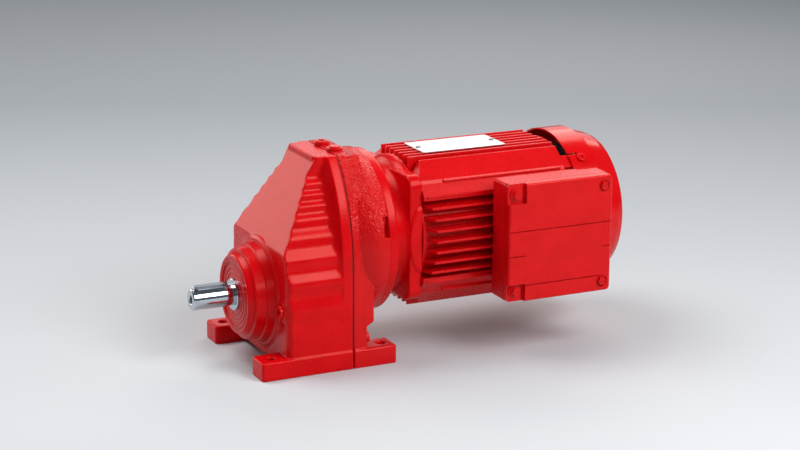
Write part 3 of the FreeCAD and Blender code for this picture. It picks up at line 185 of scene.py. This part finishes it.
def metal(name, low, high, roughness, scale, axis_stretch=(1, 1, 1), edge=0.0003):
    """Bare metal with fine tool marks along one direction."""
    s = Shader(name)
    mapping = s.add("ShaderNodeMapping")
    mapping.inputs["Scale"].default_value = axis_stretch
    s.link(s.position(), mapping.inputs["Vector"])
    marks = s.noise(scale, 3, 0.6, mapping.outputs["Vector"])
    s.link(s.blend(s.ramp(marks, 0.3, 0.7, 0, 1), low, high), s.bsdf.inputs["Base Color"])
    s.link(s.ramp(marks, 0.3, 0.7, roughness * 0.8, roughness * 1.3), s.bsdf.inputs["Roughness"])
    s.value("Metallic", 1.0)
    s.link(s.bump(marks, 0.00002, 0.4, s.rounded(edge)), s.bsdf.inputs["Normal"])
    return s.material


def plain(name, low, high, roughness, scale, edge=0.0003):
    """Plastic, rubber or fibre with a fine moulded grain."""
    s = Shader(name)
    grain = s.noise(scale, 3, 0.6)
    s.link(s.blend(s.ramp(grain, 0.3, 0.7, 0, 1), low, high), s.bsdf.inputs["Base Color"])
    s.link(s.ramp(grain, 0.3, 0.7, roughness * 0.85, roughness * 1.15), s.bsdf.inputs["Roughness"])
    s.link(s.bump(grain, 0.00004, 0.5, s.rounded(edge)), s.bsdf.inputs["Normal"])
    return s.material


# lengths in metres, noise scales per metre
MATERIALS = {
    "red_casting": red_paint("red_casting", 0.00008, 620, 0.0008, (0.20, 0.30), 0.27),
    "red_rough": red_paint("red_rough", 0.0018, 440, 0.0008, (0.13, 0.19), 0.5, (0.095, 0.15)),
    "red_turned": red_paint("red_turned", 0.00006, 620, 0.0004, (0.20, 0.28), 0.3),
    "red_motor": red_paint("red_motor", 0.00012, 700, 0.0007),
    "red_cover": red_paint("red_cover", 0.0001, 700, 0.0003),
    "red_sheet": red_paint("red_sheet", 0.00002, 300, 0.0006, (0.15, 0.20)),
    "red_hardware": red_paint("red_hardware", 0.00003, 600, 0.0004),
    "red_seal": red_paint("red_seal", 0.00004, 500, 0.0005),
    "ground_steel": metal("ground_steel", (0.44, 0.48, 0.53), (0.58, 0.62, 0.66), 0.09, 900,
                          ALONG_X),
    "dark_steel": metal("dark_steel", (0.20, 0.22, 0.25), (0.32, 0.34, 0.37), 0.2, 900, ALONG_X),
    "gear_steel": metal("gear_steel", (0.32, 0.32, 0.33), (0.46, 0.46, 0.47), 0.3, 700),
    "bearing_steel": metal("bearing_steel", (0.6, 0.61, 0.62), (0.72, 0.73, 0.74), 0.16, 900),
    "screw_steel": metal("screw_steel", (0.45, 0.45, 0.46), (0.6, 0.6, 0.61), 0.32, 500),
    "spring_steel": metal("spring_steel", (0.10, 0.10, 0.11), (0.16, 0.16, 0.17), 0.4, 500),
    "lamination_steel": metal("lamination_steel", (0.25, 0.25, 0.26), (0.4, 0.4, 0.41), 0.4, 1500,
                              (6, 1, 1)),
    "winding_copper": metal("winding_copper", (0.5, 0.18, 0.08), (0.68, 0.28, 0.12), 0.3, 1200),
    "terminal_brass": metal("terminal_brass", (0.65, 0.45, 0.16), (0.8, 0.6, 0.25), 0.28, 700),
    "plate_metal": metal("plate_metal", (0.60, 0.62, 0.64), (0.68, 0.70, 0.72), 0.34, 1200,
                         (0.05, 1, 1)),
    "gasket_fibre": plain("gasket_fibre", (0.16, 0.003, 0.004), (0.24, 0.004, 0.006), 0.7, 900),
    "seal_rubber": plain("seal_rubber", (0.012, 0.012, 0.012), (0.02, 0.02, 0.02), 0.6, 900),
    "fan_plastic": plain("fan_plastic", (0.015, 0.015, 0.016), (0.03, 0.03, 0.032), 0.5, 500),
    "board_plastic": plain("board_plastic", (0.03, 0.03, 0.032), (0.05, 0.05, 0.052), 0.45, 700),
}

for row in frame["record"]["subparts"]:
    node = nodes[row["node"]]
    node.data.materials.clear()
    node.data.materials.append(MATERIALS[row["material_slot"]])
nodes["terminal_box_cover"].data.materials[0] = MATERIALS["red_cover"]


# ---- castings: the CAD shape with its edges softened as sand casting leaves them ------------
CAST_VOXEL = 0.0008
CAST_SHARE = 0.36                # share of the voxel faces that is kept
SMOOTH_FACTOR = 0.5
SOFT_PASSES = 26


def apply_modifiers(body):
    """Applies an object's modifiers to its mesh."""
    graph = bpy.context.evaluated_depsgraph_get()
    mesh = bpy.data.meshes.new_from_object(body.evaluated_get(graph))
    body.modifiers.clear()
    body.data = mesh


def cast_copy(node, passes, look, softness=None):
    """Voxel copy of a CAD node, smoothed and thinned, that stands for the node.

    softness(point) says how much of the further smoothing a point takes, from 0 to 1.
    """
    body = bpy.data.objects.new(node + "_cast", nodes[node].data.copy())
    bpy.context.scene.collection.objects.link(body)
    remesh = body.modifiers.new("voxels", "REMESH")
    remesh.mode = "VOXEL"
    remesh.voxel_size = CAST_VOXEL
    even = body.modifiers.new("even", "SMOOTH")
    even.factor = SMOOTH_FACTOR
    even.iterations = passes
    if softness:
        apply_modifiers(body)
        group = body.vertex_groups.new(name="soft")
        for vertex in body.data.vertices:
            weight = softness(vertex.co)
            if weight > 0:
                group.add([vertex.index], weight, "REPLACE")
        soften = body.modifiers.new("soften", "SMOOTH")
        soften.factor = SMOOTH_FACTOR
        soften.iterations = SOFT_PASSES
        soften.vertex_group = "soft"
    thin = body.modifiers.new("thin", "DECIMATE")
    thin.ratio = CAST_SHARE
    apply_modifiers(body)
    mesh = body.data
    mesh.materials.clear()
    mesh.materials.append(MATERIALS[look])
    for face in mesh.polygons:
        face.use_smooth = True
    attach(body, "root")
    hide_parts(node)
    return body


case_low, case_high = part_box("gear_case_front")
BOSS_ROOT_X = case_low.x + 0.0262              # front wall, where the output boss begins
SLOPE_FOOT = Vector((BOSS_ROOT_X, 0, 0.112))   # the front slope's lower edge and its normal
SLOPE_NORMAL = Vector((-0.873, 0, 0.487))
RIM_FACE_X = case_high.x - 0.0095              # face of the joint rim, behind the cove


def rise(value, low, high):
    """0 below low, 1 above high, straight between."""
    return min(1.0, max(0.0, (value - low) / (high - low)))


SWELLS_OUTSIDE_Y = (0.022, 0.028)
SWELLS_OVER_Z = (0.045, 0.055)
SWELLS_UNDER_SLOPE = (0.0012, 0.005)
SWELLS_OFF_RIM = (0.0, 0.0015)
SWELLS_TOP_Z = 0.190
SWELLS_UNDER_TOP = (0.0, 0.004)


def side_swells(point):
    """1 on the swells and the cove of the side walls, 0 on the slope, the rim and the base."""
    under_slope = -(point - SLOPE_FOOT).dot(SLOPE_NORMAL)
    return (rise(abs(point.y), *SWELLS_OUTSIDE_Y)
            * rise(point.z, *SWELLS_OVER_Z)
            * rise(under_slope, *SWELLS_UNDER_SLOPE)
            * rise(RIM_FACE_X - point.x, *SWELLS_OFF_RIM)
            * rise(SWELLS_TOP_Z - point.z, *SWELLS_UNDER_TOP))


def from_axis(point, axis_box):
    """Distance of a point from the X axis through the middle of a node's box."""
    low, high = axis_box
    return math.hypot(point.y - (low.y + high.y) / 2, point.z - (low.z + high.z) / 2)


def keep_faces(mesh, wanted):
    """Deletes the faces whose centre is not wanted."""
    work = bmesh.new()
    work.from_mesh(mesh)
    spare = [face for face in work.faces if not wanted(face.calc_center_median())]
    bmesh.ops.delete(work, geom=spare, context="FACES")
    work.to_mesh(mesh)
    work.free()


CAST_HOLE_RADIUS = 0.051         # the cast copy is open inside this radius
BOSS_RADIUS = 0.0526             # the turned boss reaches a little past the opening
BOSS_OVERHANG = 0.001            # the cast copy is kept as far as this in front of the wall
WALL_SLACK = 0.0001


def turned_boss(cast):
    """The stepped output boss is machined: its crisp CAD rings replace the softened ones."""
    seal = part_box("output_oil_seal")
    wall_x = BOSS_ROOT_X
    keep_faces(cast.data,
               lambda c: c.x > wall_x - BOSS_OVERHANG or from_axis(c, seal) > CAST_HOLE_RADIUS)
    boss = bpy.data.objects.new("gear_case_boss", nodes["gear_case_front"].data.copy())
    bpy.context.scene.collection.objects.link(boss)
    keep_faces(boss.data, lambda c: c.x < wall_x + WALL_SLACK and from_axis(c, seal) < BOSS_RADIUS)
    boss.data.materials.clear()
    boss.data.materials.append(MATERIALS["red_turned"])
    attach(boss, "root")
    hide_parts("gear_case_front")


turned_boss(cast_copy("gear_case_front", 6, "red_casting", side_swells))
cast_copy("gear_case_rear", 2, "red_rough")
cast_copy("drive_end_shield", 5, "red_casting")


# ---- stage and light ----------------------------------------------------------------------
FLOOR_HALF_WIDTH = 6.0
FLOOR_FRONT_Y = -4.0
FLOOR_BACK_Y = 3.2
CURVE_RADIUS = 1.6
CURVE_STEPS = 12
BACKDROP_TOP = 5.0
# The floor's colour fades from the near colour to a darker far colour towards the back: painted
# shade standing in for the light falling off.
FLOOR_NEAR = (0.60, 0.63, 0.655)
FLOOR_FAR_SHADE = (0.33, 0.37, 0.40)
FLOOR_SHADE_FADE_Y = (-0.2, 1.1)
FLOOR_ROUGHNESS = 0.85
FLOOR_GRAIN_SCALE = 160
FLOOR_GRAIN = 0.0004


def make_stage():
    """A pale floor that curves up into a backdrop far behind the object, its colour painted darker
    towards the back as painted shade.
    """
    profile = [(FLOOR_FRONT_Y, 0.0), (FLOOR_BACK_Y, 0.0)]
    for k in range(1, CURVE_STEPS + 1):
        angle = math.pi / 2 * k / CURVE_STEPS
        profile.append((FLOOR_BACK_Y + CURVE_RADIUS * math.sin(angle),
                        CURVE_RADIUS * (1 - math.cos(angle))))
    profile.append((FLOOR_BACK_Y + CURVE_RADIUS, BACKDROP_TOP))
    mesh = bpy.data.meshes.new("floor")
    verts = [(side * FLOOR_HALF_WIDTH, y, z) for y, z in profile for side in (-1, 1)]
    faces = [(2 * k, 2 * k + 1, 2 * k + 3, 2 * k + 2) for k in range(len(profile) - 1)]
    mesh.from_pydata(verts, [], faces)
    for face in mesh.polygons:
        face.use_smooth = True
    floor = bpy.data.objects.new("floor", mesh)
    floor.rotation_euler.z = CAMERA_AZIMUTH
    bpy.context.scene.collection.objects.link(floor)
    s = Shader("floor_concrete")
    along = s.add("ShaderNodeSeparateXYZ")
    s.link(s.add("ShaderNodeTexCoord").outputs["Object"], along.inputs["Vector"])
    # painted shade: the floor's base colour darkens with depth towards the back
    distance = s.ramp(along.outputs["Y"], *FLOOR_SHADE_FADE_Y, 0, 1)
    s.link(s.blend(distance, FLOOR_NEAR, FLOOR_FAR_SHADE), s.bsdf.inputs["Base Color"])
    s.value("Roughness", FLOOR_ROUGHNESS)
    grain = s.noise(FLOOR_GRAIN_SCALE, 4, 0.6)
    s.link(s.bump(grain, FLOOR_GRAIN, 0.4), s.bsdf.inputs["Normal"])
    mesh.materials.append(s.material)


WHITE = (1, 1, 1)
WARM = (1.0, 0.87, 0.80)
SKY_COLOUR = (0.80, 0.90, 1.0, 1)
SKY_STRENGTH = 0.14
OBJECT_MIDDLE = Vector((0.08, 0, 0.1))
HOOD_MIDDLE = Vector((0.28, 0, 0.15))

# name, target, direction from the target, distance, width and height, watts, colour
LIGHTS = [
    ("key", OBJECT_MIDDLE, (0.368, -0.657, 0.657), 1.7, (0.9, 0.9), 20, WHITE),
    ("front", OBJECT_MIDDLE, (0.1, -0.87, 0.48), 2.0, (1.6, 0.4), 9, WHITE),
    ("left", OBJECT_MIDDLE, (-0.35, 0.30, 0.89), 1.7, (1.0, 1.0), 18, WHITE),
    ("back_panel", OBJECT_MIDDLE, (-1.5, 2.4, 0.8), 1.0, (2.6, 1.3), 28, WARM),
    ("back_low", OBJECT_MIDDLE, (1.4, 2.4, 0.8), 1.0, (1.8, 1.0), 5, WHITE),
    ("back_top", HOOD_MIDDLE, (0.463, 0.637, 0.616), 1.9, (1.3, 0.95), 13, WARM),
]


def area_light(name, target, direction, distance, size, power, colour):
    """A soft box that faces its target."""
    place = target + Vector(direction) * distance
    lamp = bpy.data.lights.new(name, "AREA")
    lamp.shape = "RECTANGLE"
    lamp.size, lamp.size_y = size
    lamp.energy = power
    lamp.color = colour
    light = bpy.data.objects.new(name, lamp)
    light.location = place
    light.rotation_euler = (target - place).to_track_quat("-Z", "Y").to_euler()
    bpy.context.scene.collection.objects.link(light)


def make_lights():
    world = bpy.data.worlds.new("studio")
    world.use_nodes = True
    background = world.node_tree.nodes["Background"]
    background.inputs["Color"].default_value = SKY_COLOUR
    background.inputs["Strength"].default_value = SKY_STRENGTH
    bpy.context.scene.world = world
    for row in LIGHTS:
        area_light(*row)


make_camera()
make_stage()
make_lights()
bpy.context.scene.view_settings.view_transform = "Standard"
